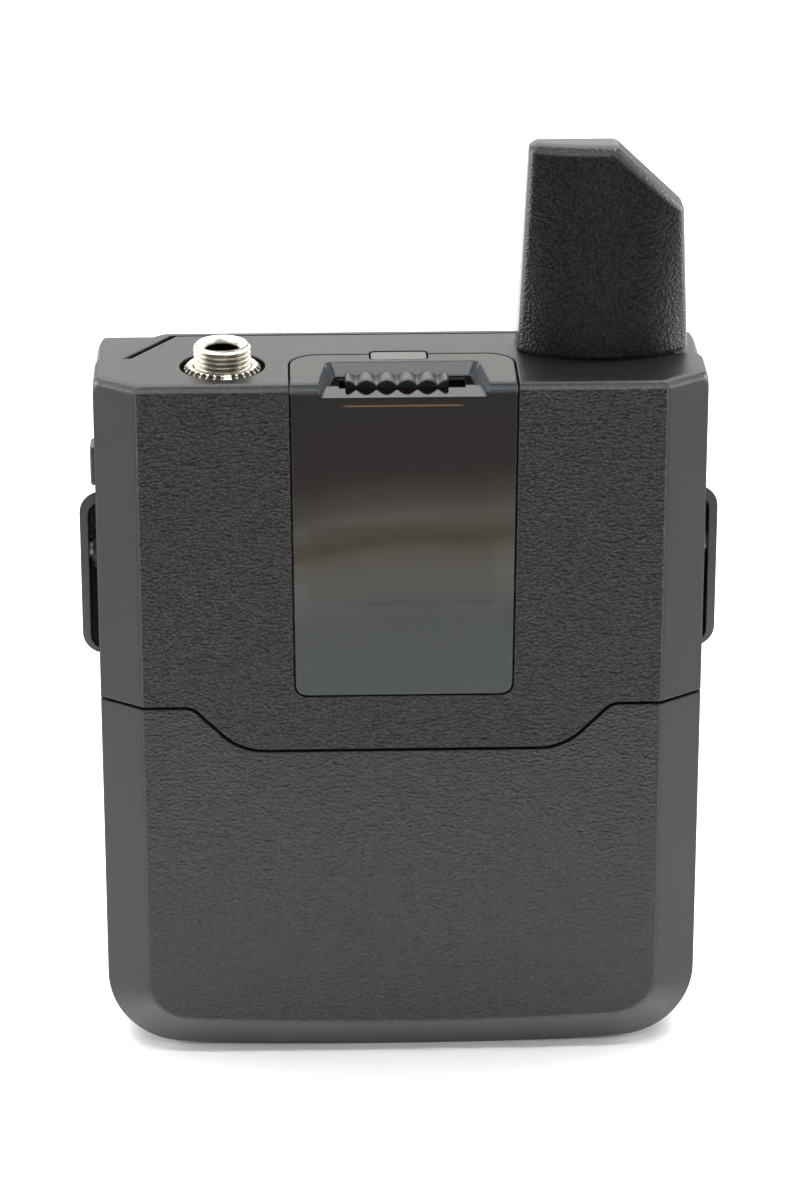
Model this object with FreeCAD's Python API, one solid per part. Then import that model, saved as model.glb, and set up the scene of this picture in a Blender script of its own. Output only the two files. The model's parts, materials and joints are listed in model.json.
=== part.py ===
import FreeCAD, Part
import math
import os

V = FreeCAD.Vector

# Wireless bodypack transmitter with a removable battery pack and a belt clip, in millimetres.
# X is across the front, Y runs from the front face to the back, and Z is up.
# Z = 0 is the flat it stands on, X = 0 its middle, and Y = 0 halfway through its depth.

# Outer body, the housing and the battery pack together
body_width = 63.9
body_depth = 18.0
body_height = 77.7
face_width = 54.8
chamfer_back = 3.25
outer_corner_radius = 8.5
face_corner_radius = 4.5
face_bottom_z = 4.3
bow_radius = 400.0
bow_slope = 0.053
base_flat_cut = 0.1
edge_radius = 1.0
rear_corner_radius = 2.5
wall = 1.6
seam = 0.25
touch = 0.05

# Stepped joint line between the housing and the battery pack
pack_side_z = 41.76
pack_middle_z = 36.7
pack_knee_x = 22.2
pack_knee_radius = 2.0
pack_valley_radius = 6.5
pack_gap = 0.36

# Seam between the front and rear shells, seen from above
side_seam_y = 0.3
strip_seam_y = 7.35
seam_inner_x = 23.8
seam_outer_x = 28.4
diagonal_gap = 0.7
rear_corner_drop = 0.6
rear_corner_slope = 1.8

# Smoked window that wraps over the top edge, with the thumb tray
window_centre_x = 0.2
window_top_half = 11.7
window_bottom_half = 11.4
window_bottom_z = 43.1
window_rear_y = 0.75
window_plate = 1.3
window_gap = 0.22
window_bottom_radius = 1.2
window_rear_radius = 3.0
window_ledge = 1.2
tray_depth = 1.35
tray_floor = 1.0
tray_rim_front = 9.2
tray_rim_rear = 8.1
tray_floor_front = 8.7
tray_floor_rear = 7.5
tray_rim_y = -1.5
tray_floor_y = -2.3
slot_centre_x = 0.1
slot_half = 6.55
slot_front_y = -6.0
slot_rear_y = -3.0

# Mute slider and its switch
slider_half = 5.35
slider_centre_x = -0.45
slider_top_drop = 0.4
slider_travel = 1.5
slider_side_gap = 0.12
rib_pitch = 2.12
rib_valley_radius = 0.95
rib_valley_lift = 0.15
rib_valleys = 5
flange_thickness = 0.6
switch_board_z = 69.4

# Status light
lens_centre_x = -0.1
lens_half = 2.9
lens_front_y = -0.75
lens_rear_y = 1.65
lens_gap = 0.2

# Microphone socket, a 3.5 mm jack with an M6 threaded collar
jack_x = -18.53
jack_y = -2.4
jack_bore_r = 1.78
jack_collar_r = 3.0
jack_collar_height = 2.5
jack_neck_relief = 0.2
jack_tail_step = 0.5
jack_bore_depth = 14.0
jack_nut_r = 4.03
jack_nut_proud = 0.2
jack_hole_r = 4.49
jack_hole_depth = 1.8
jack_boss_r = 5.6
jack_body_half = 4.1
jack_body_height = 13.0

# Antenna cap
antenna_x = 21.35
antenna_base_half = 8.95
antenna_top_left = 13.6
antenna_top_right = 29.6
antenna_front_y = -2.2
antenna_shoulder_y = 1.4
antenna_rear_y = 7.2
antenna_top_front_y = 2.3
antenna_top_shoulder_y = 3.7
antenna_height = 21.8
antenna_slope_x = 22.7
antenna_slope_z = 15.9
antenna_slope_right_x = 28.9
antenna_edge_radius = 1.2
antenna_seal_height = 0.3
antenna_core_r = 2.2
antenna_core_y = 3.6

# Display, boards and screws
lcd_half = 10.4
lcd_low_z = 52.4
lcd_high_z = 62.9
board_front_y = 2.0
board_thickness = 1.2
board_low_z = 50.4
board_high_z = 73.5
screw_places = [(-22.6, 47.0), (22.6, 47.0), (-26.4, 72.0), (26.4, 72.0)]
screw_shank_r = 0.98
screw_head_r = 2.0
board_screw_places = [(-16.0, 53.5), (15.0, 70.0)]

# Side button
button_y = 2.4
button_z = 65.45
button_half_y = 1.6
button_half_z = 2.25
button_proud = 0.75
button_travel = 0.6

# Belt clip and its pivots
clip_plate = 0.9
clip_arm_x = 34.0
clip_pivot_y = 5.0
clip_pivot_z = 54.8
clip_front_y = 1.6
clip_low_z = 43.8
clip_high_z = 62.4
clip_bend_radius = 2.4
clip_gap = 4.8
clip_arm_slope = 0.38
clip_corner_radius = 3.0
tongue_half = 10.5
tongue_tip_half = 8.0
pivot_pin_r = 1.2
pivot_clearance = 0.05
pivot_bush_r = 2.25
pivot_bush_proud = 0.75

# Battery pack
pack_wall = 1.5
deck_thickness = 1.5
tongue_x = 17.0
tongue_y = 3.6
tongue_top_z = 46.0
cell_half = 23.0
cell_low_z = 3.0
cell_high_z = 36.0
contact_places = [-8.0, 0.0, 8.0]
release_y = 4.0
release_z = 30.0
release_half_y = 2.6
release_half_z = 6.0
latch_top_z = 45.6
spring_wall_x = 25.5
spring_leaf = 0.25

# Sizes that follow from the ones above
front_y = -body_depth / 2
back_y = body_depth / 2
half_width = body_width / 2
face_half = face_width / 2
top_z = body_height
chamfer_y = front_y + chamfer_back
skirt_y = front_y + wall
inner_back_y = back_y - wall
board_back_y = board_front_y + board_thickness
window_inner_y = front_y + window_plate
tray_floor_z = top_z - tray_depth
tray_base_z = tray_floor_z - tray_floor
jack_floor_z = top_z - jack_hole_depth
jack_seat_z = jack_floor_z - wall
far = 60.0


def on_xz(y):
    return lambda u, v: V(u, y, v)


def on_xy(z):
    return lambda u, v: V(u, v, z)


def on_yz(x):
    return lambda u, v: V(x, u, v)


def rounded_wire(corners, place):
    """A closed wire through (u, v, radius) corners, with an arc wherever the radius isn't zero."""
    flat = [V(u, v, 0) for u, v, radius in corners]
    stretches = []
    for i, (u, v, radius) in enumerate(corners):
        back = (flat[i - 1] - flat[i]).normalize()
        ahead = (flat[(i + 1) % len(flat)] - flat[i]).normalize()
        half_angle = back.getAngle(ahead) / 2
        setback = radius / math.tan(half_angle)
        start = flat[i] + back * setback
        end = flat[i] + ahead * setback
        inward = (back + ahead).normalize()
        middle = flat[i] + inward * (radius / math.sin(half_angle) - radius)
        stretches.append((start, middle, end, radius))
    edges = []
    for i, (start, middle, end, radius) in enumerate(stretches):
        last_end = stretches[i - 1][2]
        edges.append(Part.makeLine(place(last_end.x, last_end.y), place(start.x, start.y)))
        if radius > 0:
            arc = Part.Arc(place(start.x, start.y), place(middle.x, middle.y), place(end.x, end.y))
            edges.append(arc.toShape())
    return Part.Wire(edges)


def prism(corners, place, push):
    return Part.Face(rounded_wire(corners, place)).extrude(push)


def loft(corners_a, place_a, corners_b, place_b):
    return Part.makeLoft([rounded_wire(corners_a, place_a), rounded_wire(corners_b, place_b)], True, True)


def rectangle(x0, x1, y0, y1, radius=0):
    return [(x0, y0, radius), (x1, y0, radius), (x1, y1, radius), (x0, y1, radius)]


def box(x0, x1, y0, y1, z0, z1):
    return Part.makeBox(x1 - x0, y1 - y0, z1 - z0, V(x0, y0, z0))


def rod_x(x0, x1, y, z, radius):
    return Part.makeCylinder(radius, x1 - x0, V(x0, y, z), V(1, 0, 0))


def rod_y(x, y0, y1, z, radius):
    return Part.makeCylinder(radius, y1 - y0, V(x, y0, z), V(0, 1, 0))


def rod_z(x, y, z0, z1, radius):
    return Part.makeCylinder(radius, z1 - z0, V(x, y, z0), V(0, 0, 1))


def mirrored(shape):
    return shape.mirror(V(0, 0, 0), V(1, 0, 0))


def both_sides(shape):
    return Part.makeCompound([shape, mirrored(shape)])


def rounded(shape, radius, wanted):
    """The shape with a fillet on each edge that the test picks out by its bounding box."""
    edges = [edge for edge in shape.Edges if wanted(edge.BoundBox)]
    return shape.makeFillet(radius, edges)


def save(name, shape):
    shape = shape.removeSplitter()
    shape.exportStep("parts/" + name + ".step")
    print(name, "solids", len(shape.Solids), "valid", shape.isValid(), "volume", round(shape.Volume, 2))


# ---------------------------------------------------------------- the outer body


def bowed_outline(half, low_z, corner_radius, high_z):
    """Front view outline: straight sides, rounded lower corners and a slightly bowed bottom."""
    apex_z = low_z - bow_radius * (math.sqrt(1 + bow_slope ** 2) - 1)
    edge_z = apex_z + bow_slope * half
    low_corners = [(-half, edge_z, corner_radius), (0, apex_z, bow_radius), (half, edge_z, corner_radius)]
    return [(-half, high_z, 0)] + low_corners + [(half, high_z, 0)]


def body_block(inset, high_z, rear_y):
    """The body's envelope, or with an inset the space that walls of that thickness leave inside."""
    chamfer_turn = math.atan2(chamfer_back, half_width - face_half)
    face_shift = inset * math.tan(chamfer_turn / 2)
    side_shift = inset * math.tan((math.pi / 2 - chamfer_turn) / 2)
    face = bowed_outline(face_half - face_shift, face_bottom_z + face_shift,
            face_corner_radius - face_shift, high_z)
    rim = bowed_outline(half_width - inset, inset - base_flat_cut, outer_corner_radius - inset, high_z)
    rim_y = chamfer_y + side_shift
    front = loft(face, on_xz(front_y + inset), rim, on_xz(rim_y))
    rear = prism(rim, on_xz(rim_y), V(0, rear_y - rim_y, 0))
    return front.fuse(rear).removeSplitter()


def on_body_edge(bounds):
    """Edges of the back face, the top face and the flat front face."""
    return bounds.YMin > back_y - touch or bounds.ZMin > top_z - touch or bounds.YMax < front_y + touch


def outer_body():
    block = rounded(body_block(0, top_z, back_y), edge_radius, on_body_edge)
    return block.common(box(-far, far, -far, far, 0, 2 * far))


def inner_space():
    return body_block(wall, top_z - wall, inner_back_y)


def parting_corners(shift, end_z):
    """The stepped joint line, moved up by shift, closed at end_z above or below it."""
    slide = shift * math.tan(math.pi / 8)
    knee_x = pack_knee_x - slide
    valley_x = pack_knee_x - (pack_side_z - pack_middle_z) - slide
    side_z = pack_side_z + shift
    middle_z = pack_middle_z + shift
    knee_r = pack_knee_radius + shift
    valley_r = pack_valley_radius - shift
    left = [(-far, end_z, 0), (-far, side_z, 0), (-knee_x, side_z, knee_r), (-valley_x, middle_z,
            valley_r)]
    right = [(valley_x, middle_z, valley_r), (knee_x, side_z, knee_r), (far, side_z, 0), (far, end_z, 0)]
    return left + right


def below_parting(shift):
    """Everything below the joint line. Behind the front wall it runs straight across."""
    front = prism(parting_corners(shift, -far), on_xz(-far), V(0, 2 * far, 0))
    behind_y = skirt_y - shift
    return front.fuse(box(-far, far, behind_y, far, -far, pack_side_z + shift))


def rear_zone(shift, diagonal_shift):
    """Plan region of the rear shell. It comes forward at both corners."""
    side_y = side_seam_y + shift
    strip_y = strip_seam_y + shift
    inner_x = seam_inner_x + diagonal_shift
    outer_x = seam_outer_x + diagonal_shift
    left = [(-far, far, 0), (-far, side_y, 0), (-outer_x, side_y, 0), (-inner_x, strip_y, 0)]
    right = [(inner_x, strip_y, 0), (outer_x, side_y, 0), (far, side_y, 0), (far, far, 0)]
    return prism(left + right, on_xy(-far), V(0, 0, 3 * far))


def rear_corner_cut():
    """Space above a rear top corner, which lies lower than the top face beyond a short slope."""
    low_z = top_z - rear_corner_drop
    low_x = rear_corner_slope

    def outline(shift):
        inner_x = seam_inner_x + diagonal_gap / 2 + shift
        outer_x = seam_outer_x + diagonal_gap / 2 + shift
        return [(inner_x, far, 0), (inner_x, strip_seam_y, 0), (outer_x, side_seam_y, 0), (outer_x,
                -far, 0),
                (far, -far, 0), (far, far, 0)]

    return loft(outline(low_x), on_xy(low_z), outline(0), on_xy(top_z + touch))


# ---------------------------------------------------------------- window, tray and light


def window_sides(top_half, bottom_half, low_z, high_z, radius):
    x = window_centre_x
    return [(x - top_half, high_z, 0), (x - bottom_half, low_z, radius), (x + bottom_half, low_z, radius),
            (x + top_half, high_z, 0)]


def window_blank(grow, depth):
    """The window's L-shaped plate before the tray is cut, thickened and widened by the given amounts."""
    sides = window_sides(window_top_half + grow, window_bottom_half + grow, window_bottom_z - grow,
            top_z + wall,
                         window_bottom_radius + grow)
    front = prism(sides, on_xz(front_y - wall), V(0, wall + depth, 0))
    left_x = window_centre_x - window_top_half - grow
    right_x = window_centre_x + window_top_half + grow
    rear = window_rear_y + grow
    radius = window_rear_radius + grow
    plan = [(left_x, front_y - wall, 0), (right_x, front_y - wall, 0), (right_x, rear, radius),
            (left_x, rear, radius)]
    return front.fuse(prism(plan, on_xy(top_z - depth), V(0, 0, depth + wall)))


def tray_outline(front_half, rear_half, rear):
    """Plan of the thumb tray, which is open at the front."""
    x = window_centre_x
    open_y = front_y - wall
    return [(x - front_half, open_y, 0), (x + front_half, open_y, 0), (x + rear_half, rear, 0.8),
            (x - rear_half, rear, 0.8)]


def tray_space():
    floor = tray_outline(tray_floor_front, tray_floor_rear, tray_floor_y)
    rim = tray_outline(tray_rim_front, tray_rim_rear, tray_rim_y)
    return loft(floor, on_xy(tray_floor_z), rim, on_xy(top_z + touch))


def tray_block(grow):
    x = window_centre_x
    half = tray_rim_front + tray_floor
    return box(x - half - grow, x + half + grow, front_y - wall, tray_rim_y + tray_floor + grow,
               tray_base_z - grow, top_z)


def slider_slot():
    plan = rectangle(slot_centre_x - slot_half, slot_centre_x + slot_half, slot_front_y,
            slot_rear_y, 0.15)
    return prism(plan, on_xy(tray_base_z - wall), V(0, 0, 2 * wall))


def lens_prism(grow, low_z, high_z):
    x = lens_centre_x
    plan = rectangle(x - lens_half - grow, x + lens_half + grow, lens_front_y - grow, lens_rear_y + grow,
                     0.5 + grow)
    return prism(plan, on_xy(low_z), V(0, 0, high_z - low_z))


def display_window(outer):
    plate = window_blank(0, window_plate).fuse(tray_block(0)).common(outer)
    plate = plate.cut(tray_space()).cut(slider_slot())
    return plate.cut(lens_prism(lens_gap, tray_base_z, top_z + wall))


def window_opening():
    """Recess for the window, the see-through opening behind it, and the room for the tray."""
    recess = window_blank(window_gap, window_plate + touch)
    sides = window_sides(window_top_half - window_ledge, window_bottom_half - window_ledge,
                         window_bottom_z + window_ledge, top_z - wall, window_bottom_radius)
    through = prism(sides, on_xz(front_y - wall), V(0, 4 * wall, 0))
    return recess.fuse(through).fuse(tray_block(window_gap))


def led_lens():
    """Light pipe: a flat lens in the top face on a narrower stem over the status light."""
    lens = lens_prism(0, top_z - wall, top_z - touch)
    middle_y = (lens_front_y + lens_rear_y) / 2
    stem = box(lens_centre_x - 1.4, lens_centre_x + 1.4, middle_y - 0.7, middle_y + 0.7,
               switch_board_z + 2.2, top_z - wall)
    return lens.fuse(stem)


def status_led():
    middle_y = (lens_front_y + lens_rear_y) / 2
    base = box(lens_centre_x - 0.8, lens_centre_x + 0.8, middle_y - 0.6, middle_y + 0.6,
               switch_board_z + 1.0, switch_board_z + 1.4)
    dome = box(lens_centre_x - 0.6, lens_centre_x + 0.6, middle_y - 0.45, middle_y + 0.45,
               switch_board_z + 1.4, switch_board_z + 1.9)
    return base.fuse(dome)


# ---------------------------------------------------------------- housing shells


def housing(outer):
    """The upper housing's walls, before they are divided into the two shells."""
    walls = outer.cut(inner_space())
    return walls.cut(below_parting(pack_gap / 2))


def front_boss(x, z):
    return rod_y(x, front_y + touch, side_seam_y - seam / 2, z, 2.8)


def front_pilot(x, z):
    return rod_y(x, front_y + 2 * wall, side_seam_y + wall, z, screw_shank_r + 0.02)


def front_shell(outer):
    walls = housing(outer).cut(rear_zone(-seam / 2, -diagonal_gap / 2))
    frame = box(-14, 14, front_y + touch, window_inner_y + 1.4, pack_middle_z + 3, top_z - touch)
    jack_boss = rod_z(jack_x, jack_y, jack_seat_z, top_z - touch, jack_boss_r)
    extras = frame.fuse(jack_boss)
    for x, z in screw_places:
        extras = extras.fuse(front_boss(x, z))
    shell = walls.fuse(extras.common(outer))
    shell = shell.cut(window_opening())
    shell = shell.cut(lens_prism(lens_gap, tray_base_z, top_z + wall))
    shell = shell.cut(rod_z(jack_x, jack_y, jack_floor_z, top_z + wall, jack_hole_r))
    shell = shell.cut(rod_z(jack_x, jack_y, jack_seat_z - wall, jack_floor_z + touch,
            jack_collar_r + touch))
    shell = shell.cut(rod_z(antenna_x, antenna_core_y, inner_back_y, top_z + wall,
            antenna_core_r + touch))
    for x, z in screw_places:
        shell = shell.cut(front_pilot(x, z))
    return shell.cut(below_parting(pack_gap / 2))


def rear_boss(x, z):
    return rod_y(x, side_seam_y + seam / 2, back_y - touch, z, 2.8)


def rear_screw_hole(x, z):
    shank = rod_y(x, 0, back_y, z, screw_shank_r + 0.15)
    head = rod_y(x, back_y - 2.0, back_y + wall, z, screw_head_r + 0.2)
    return shank.fuse(head)


def side_button_hole():
    grow = 0.2
    plan = rectangle(button_y - button_half_y - grow, button_y + button_half_y + grow,
                     button_z - button_half_z - grow, button_z + button_half_z + grow, 0.8)
    return prism(plan, on_yz(-half_width - wall), V(3 * wall, 0, 0))


def rear_shell(outer):
    walls = housing(outer).common(rear_zone(seam / 2, diagonal_gap / 2))
    shell = walls
    for x, z in screw_places:
        shell = shell.fuse(rear_boss(x, z))
    for x, z in board_screw_places:
        shell = shell.fuse(rod_y(x, board_back_y, back_y - touch, z, 2.0))
    shell = shell.common(outer)
    for x, z in screw_places:
        shell = shell.cut(rear_screw_hole(x, z))
    for x, z in board_screw_places:
        shell = shell.cut(rod_y(x, board_back_y - touch, back_y - wall, z, 0.8))
    pivot = rod_x(half_width - 2 * wall, far, clip_pivot_y, clip_pivot_z, pivot_bush_r - 0.35)
    shell = shell.cut(both_sides(pivot)).cut(side_button_hole())
    round_top = [(-half_width, 0, 0), (half_width, 0, 0), (half_width, top_z, rear_corner_radius),
                 (-half_width, top_z, rear_corner_radius)]
    shell = shell.common(prism(round_top, on_xz(-far), V(0, 2 * far, 0)))
    return shell.cut(both_sides(rear_corner_cut()))


def case_screws():
    screws = []
    for x, z in screw_places:
        head = rod_y(x, back_y - 2.0, back_y - 0.7, z, screw_head_r)
        cross = box(x - 1.2, x + 1.2, back_y - 1.5, back_y, z - 0.22, z + 0.22)
        cross = cross.fuse(box(x - 0.22, x + 0.22, back_y - 1.5, back_y, z - 1.2, z + 1.2))
        shank = rod_y(x, front_y + 4.0, back_y - 2.0, z, screw_shank_r)
        screws.append(head.cut(cross).fuse(shank))
    return Part.makeCompound(screws)


def pivot_bushes():
    """Bushes in the side walls that the clip's pins turn in."""
    flange = rod_x(half_width, half_width + pivot_bush_proud, clip_pivot_y, clip_pivot_z, pivot_bush_r)
    barrel = rod_x(half_width - wall - 0.9, half_width, clip_pivot_y, clip_pivot_z, pivot_bush_r - 0.4)
    bore = rod_x(0, far, clip_pivot_y, clip_pivot_z, pivot_pin_r + pivot_clearance)
    return both_sides(flange.fuse(barrel).cut(bore))


def base_panel():
    """Floor of the housing, with the socket that the battery pack's tongue plugs into."""
    low_z = pack_side_z + pack_gap / 2
    plate = box(-far, far, -far, far, low_z, low_z + 1.6)
    inside = body_block(wall + 0.1, top_z, inner_back_y - 0.1)
    plate = plate.common(inside)
    socket = box(-tongue_x - 1.5, tongue_x + 1.5, -tongue_y - 1.5, tongue_y + 1.5, low_z,
            tongue_top_z + 1.8)
    panel = plate.fuse(socket)
    panel = panel.cut(box(-tongue_x - 0.3, tongue_x + 0.3, -tongue_y - 0.3, tongue_y + 0.3, 0,
            tongue_top_z + 0.3))
    for x in contact_places:
        panel = panel.cut(rod_z(x, 0, tongue_top_z, far, 0.95))
    latch_slot = box(26.2, far, release_y - 2.4, release_y + 2.4, 0, far)
    window_frame_room = box(-14.2, 14.2, -far, window_inner_y + 1.5, 0, far)
    return panel.cut(both_sides(latch_slot)).cut(window_frame_room)


def battery_terminals():
    """Three spring pins in the socket's ceiling."""
    pins = []
    for x in contact_places:
        tip = rod_z(x, 0, tongue_top_z + touch, tongue_top_z + 0.5, 0.5)
        sleeve = rod_z(x, 0, tongue_top_z + 0.5, tongue_top_z + 3.0, 0.9)
        pins.append(tip.fuse(sleeve))
    return Part.makeCompound(pins)


# ---------------------------------------------------------------- microphone socket


def jack_bushing():
    low_z = top_z + jack_collar_height - jack_bore_depth
    high_z = top_z + jack_collar_height
    nut_top_z = top_z + jack_nut_proud
    sleeve = rod_z(jack_x, jack_y, nut_top_z, high_z, jack_collar_r)
    neck = rod_z(jack_x, jack_y, jack_seat_z, nut_top_z, jack_collar_r - jack_neck_relief)
    tail = rod_z(jack_x, jack_y, low_z, jack_seat_z, jack_collar_r - jack_tail_step)
    outside = sleeve.fuse(neck).fuse(tail)
    outside = rounded(outside, 0.2, lambda bounds: bounds.ZMin > high_z - touch)
    bore = rod_z(jack_x, jack_y, low_z, high_z, jack_bore_r)
    sink = Part.makeCone(jack_bore_r, jack_bore_r + 0.55, 0.5, V(jack_x, jack_y, high_z - 0.5),
            V(0, 0, 1))
    return outside.cut(bore.fuse(sink))


def jack_nut():
    ring = rod_z(jack_x, jack_y, jack_floor_z, top_z + jack_nut_proud, jack_nut_r)
    ring = ring.cut(rod_z(jack_x, jack_y, 0, far * 2, jack_collar_r + 0.02))
    return ring.makeChamfer(0.25, [edge for edge in ring.Edges if edge.BoundBox.ZMin > top_z])


def jack_body():
    low_z = jack_seat_z - jack_body_height
    block = box(jack_x - jack_body_half, jack_x + jack_body_half, jack_y - jack_body_half,
                jack_y + jack_body_half, low_z, jack_seat_z)
    pocket = rod_z(jack_x, jack_y, low_z + 1.5, jack_seat_z, jack_collar_r - 0.48)
    spring_slot = box(jack_x - 3.4, jack_x + 3.4, jack_y - 0.9, jack_y + 0.9, low_z, low_z + 5)
    return block.cut(pocket).cut(spring_slot)


def jack_contacts():
    """Tip and ring springs beside the plug's way, and the sleeve tag outside the block."""
    low_z = jack_seat_z - jack_body_height
    springs = []
    for side in (-1, 1):
        near = jack_x + side * 2.9
        leaf = box(near - 0.15, near + 0.15, jack_y - 0.6, jack_y + 0.6, low_z - 1.2, low_z + 4.2)
        springs.append(leaf)
    tag_y = jack_y + jack_body_half + touch
    springs.append(box(jack_x - 0.6, jack_x + 0.6, tag_y, tag_y + 0.15, low_z - 1.2, low_z + 3))
    return Part.makeCompound(springs)


# ---------------------------------------------------------------- antenna


def antenna_plan(left_x, right_x, shoulder_y, nose_y, rear, z):
    """D-shaped outline seen from above: straight sides and back, and a bowed front."""
    corners = [V(right_x, shoulder_y, z), V(right_x, rear, z), V(left_x, rear, z), V(left_x,
            shoulder_y, z)]
    edges = [Part.makeLine(corners[i], corners[i + 1]) for i in range(3)]
    nose = V((left_x + right_x) / 2, nose_y, z)
    edges.append(Part.Arc(corners[3], nose, corners[0]).toShape())
    return Part.Wire(edges)


def antenna_cap():
    low_z = top_z + antenna_seal_height
    high_z = top_z + antenna_height
    base = antenna_plan(antenna_x - antenna_base_half, antenna_x + antenna_base_half, antenna_shoulder_y,
                        antenna_front_y, antenna_rear_y, low_z)
    tip = antenna_plan(antenna_top_left, antenna_top_right, antenna_top_shoulder_y, antenna_top_front_y,
                       antenna_rear_y - 0.4, high_z)
    cap = Part.makeLoft([base, tip], True, True)
    fall = (antenna_height - antenna_slope_z) / (antenna_slope_right_x - antenna_slope_x)
    end_z = high_z - (far - antenna_slope_x) * fall
    slope = [(antenna_slope_x, high_z, 0), (far, end_z, 0), (far, high_z + wall, 0),
             (antenna_slope_x, high_z + wall, 0)]
    cap = cap.cut(prism(slope, on_xz(-far), V(0, 2 * far, 0)))
    cap = rounded(cap, antenna_edge_radius, lambda bounds: bounds.ZMax > low_z + wall)
    core = rod_z(antenna_x, antenna_core_y, 0, high_z - 6, antenna_core_r + touch)
    return cap.cut(core)


def antenna_seal():
    half = antenna_base_half - 0.3
    plan = antenna_plan(antenna_x - half, antenna_x + half, antenna_shoulder_y + 0.3,
            antenna_front_y + 0.3,
                        antenna_rear_y - 0.3, top_z)
    seal = Part.Face(plan).extrude(V(0, 0, antenna_seal_height))
    return seal.cut(rod_z(antenna_x, antenna_core_y, 0, far * 2, antenna_core_r + touch))


def antenna_element():
    low_z = top_z - wall - 1.2
    return rod_z(antenna_x, antenna_core_y, low_z, top_z + antenna_height - 6.5, antenna_core_r)


def antenna_contact():
    """Spring strip from the board up to the foot of the antenna element."""
    foot_z = top_z - wall - 1.2
    low = box(antenna_x - 1.2, antenna_x + 1.2, board_front_y - 0.2, board_front_y,
            board_high_z - 4, board_high_z)
    rise = box(antenna_x - 1.2, antenna_x + 1.2, board_front_y - 0.2, board_front_y, board_high_z,
            foot_z - 0.2)
    pad = box(antenna_x - 1.2, antenna_x + 1.2, board_front_y - 0.2, board_front_y + 2.6,
            foot_z - 0.2, foot_z)
    return low.fuse(rise).fuse(pad)


# ---------------------------------------------------------------- display and boards


def lcd_glass():
    return box(-lcd_half, lcd_half, -6.1, -4.7, lcd_low_z, lcd_high_z)


def lcd_backlight():
    return box(-lcd_half, lcd_half, -4.65, -3.9, lcd_low_z, lcd_high_z)


def lcd_frame():
    """Open frame that stands on the board and holds the display up behind the window."""
    rim = 1.2
    block = box(-lcd_half - rim, lcd_half + rim, -6.0, board_front_y, lcd_low_z - rim, lcd_high_z + rim)
    seat = box(-lcd_half - touch, lcd_half + touch, -far, -3.85, lcd_low_z - touch, lcd_high_z + touch)
    hollow = box(-lcd_half + 0.8, lcd_half - 0.8, -far, far, lcd_low_z + 0.8, lcd_high_z - 0.8)
    return block.cut(seat).cut(hollow)


def main_board():
    board = box(-23, 23, board_front_y, board_back_y, board_low_z, board_high_z)
    board = board.fuse(box(-27, 27, board_front_y, board_back_y, board_low_z + 2, 67.5))
    for x, z in board_screw_places:
        board = board.cut(rod_y(x, 0, back_y, z, 0.9))
    return board


def board_chips():
    """Processor, radio and power chips on the back of the board."""
    y0 = board_back_y
    chips = [box(-20, -11, y0, y0 + 1.0, 56, 65), box(2, 8, y0, y0 + 0.9, 57, 63), box(11, 16, y0,
            y0 + 0.9, 60, 65)]
    chips.append(box(-21, -17, y0, y0 + 1.6, 68, 72))
    return Part.makeCompound(chips)


def rf_shield():
    """Thin metal can over the radio, open towards the board."""
    y0 = board_back_y
    can = box(0.5, 19.5, y0, y0 + 2.4, 54.6, 66.8)
    return can.cut(box(0.75, 19.25, y0, y0 + 2.15, 54.85, 66.55))


def board_screws():
    screws = []
    for x, z in board_screw_places:
        head = rod_y(x, board_front_y - 0.9, board_front_y, z, 1.5)
        slot = box(x - 1.0, x + 1.0, board_front_y - 0.9, board_front_y - 0.5, z - 0.2, z + 0.2)
        screws.append(head.cut(slot).fuse(rod_y(x, board_front_y, board_back_y + 3.0, z, 0.78)))
    return Part.makeCompound(screws)


def switch_board():
    return box(-9.5, 9.5, -6.6, board_front_y, switch_board_z, switch_board_z + 1.0)


def lever_y():
    return (slot_front_y + slot_rear_y) / 2


def mute_switch_body():
    """Miniature slide switch standing on the small board."""
    low_z = switch_board_z + 1.0
    middle_x = slider_centre_x + slider_travel / 2
    y = lever_y()
    case = box(middle_x - 4.5, middle_x + 4.5, y - 1.75, y + 1.75, low_z, low_z + 3.3)
    room = box(middle_x - 3.1, middle_x + 3.1, y - 0.85, y + 0.85, low_z + 1.4, low_z + 2.6)
    way = box(middle_x - 1.9, middle_x + 1.9, y - 0.7, y + 0.7, low_z + 2.5, low_z + 3.4)
    return case.cut(room).cut(way)


def mute_switch_lever():
    low_z = switch_board_z + 1.0
    y = lever_y()
    foot = box(slider_centre_x - 1.8, slider_centre_x + 1.8, y - 0.75, y + 0.75, low_z + 1.5, low_z + 2.4)
    post = box(slider_centre_x - 0.8, slider_centre_x + 0.8, y - 0.6, y + 0.6, low_z + 2.4,
            tray_base_z + 0.3)
    return foot.fuse(post)


def mute_slider():
    """Ribbed thumb slider. A flange under the tray floor keeps it in its slot."""
    y = lever_y()
    high_z = top_z - slider_top_drop
    y0 = slot_front_y + slider_side_gap
    y1 = slot_rear_y - slider_side_gap
    x0 = slider_centre_x - slider_half
    x1 = slider_centre_x + slider_half
    bevel = 0.35
    low_z = tray_base_z - touch
    side = [(x0, low_z, 0), (x1, low_z, 0), (x1, high_z - 2 * bevel, 0), (x1 - bevel, high_z, 0),
            (x0 + bevel, high_z, 0), (x0, high_z - 2 * bevel, 0)]
    grip = prism(side, on_xz(y0), V(0, y1 - y0, 0))
    for i in range(rib_valleys):
        x = slider_centre_x + (i - (rib_valleys - 1) / 2) * rib_pitch
        grip = grip.cut(rod_y(x, -far, far, high_z + rib_valley_lift, rib_valley_radius))
    flange = box(x0 - 2.4, x1 + 2.4, y - 2.3, y + 2.3, low_z - flange_thickness, low_z)
    pocket = box(slider_centre_x - 0.85, slider_centre_x + 0.85, y - 0.65, y + 0.65, 0,
            tray_base_z + 0.35)
    return grip.fuse(flange).cut(pocket)


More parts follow.
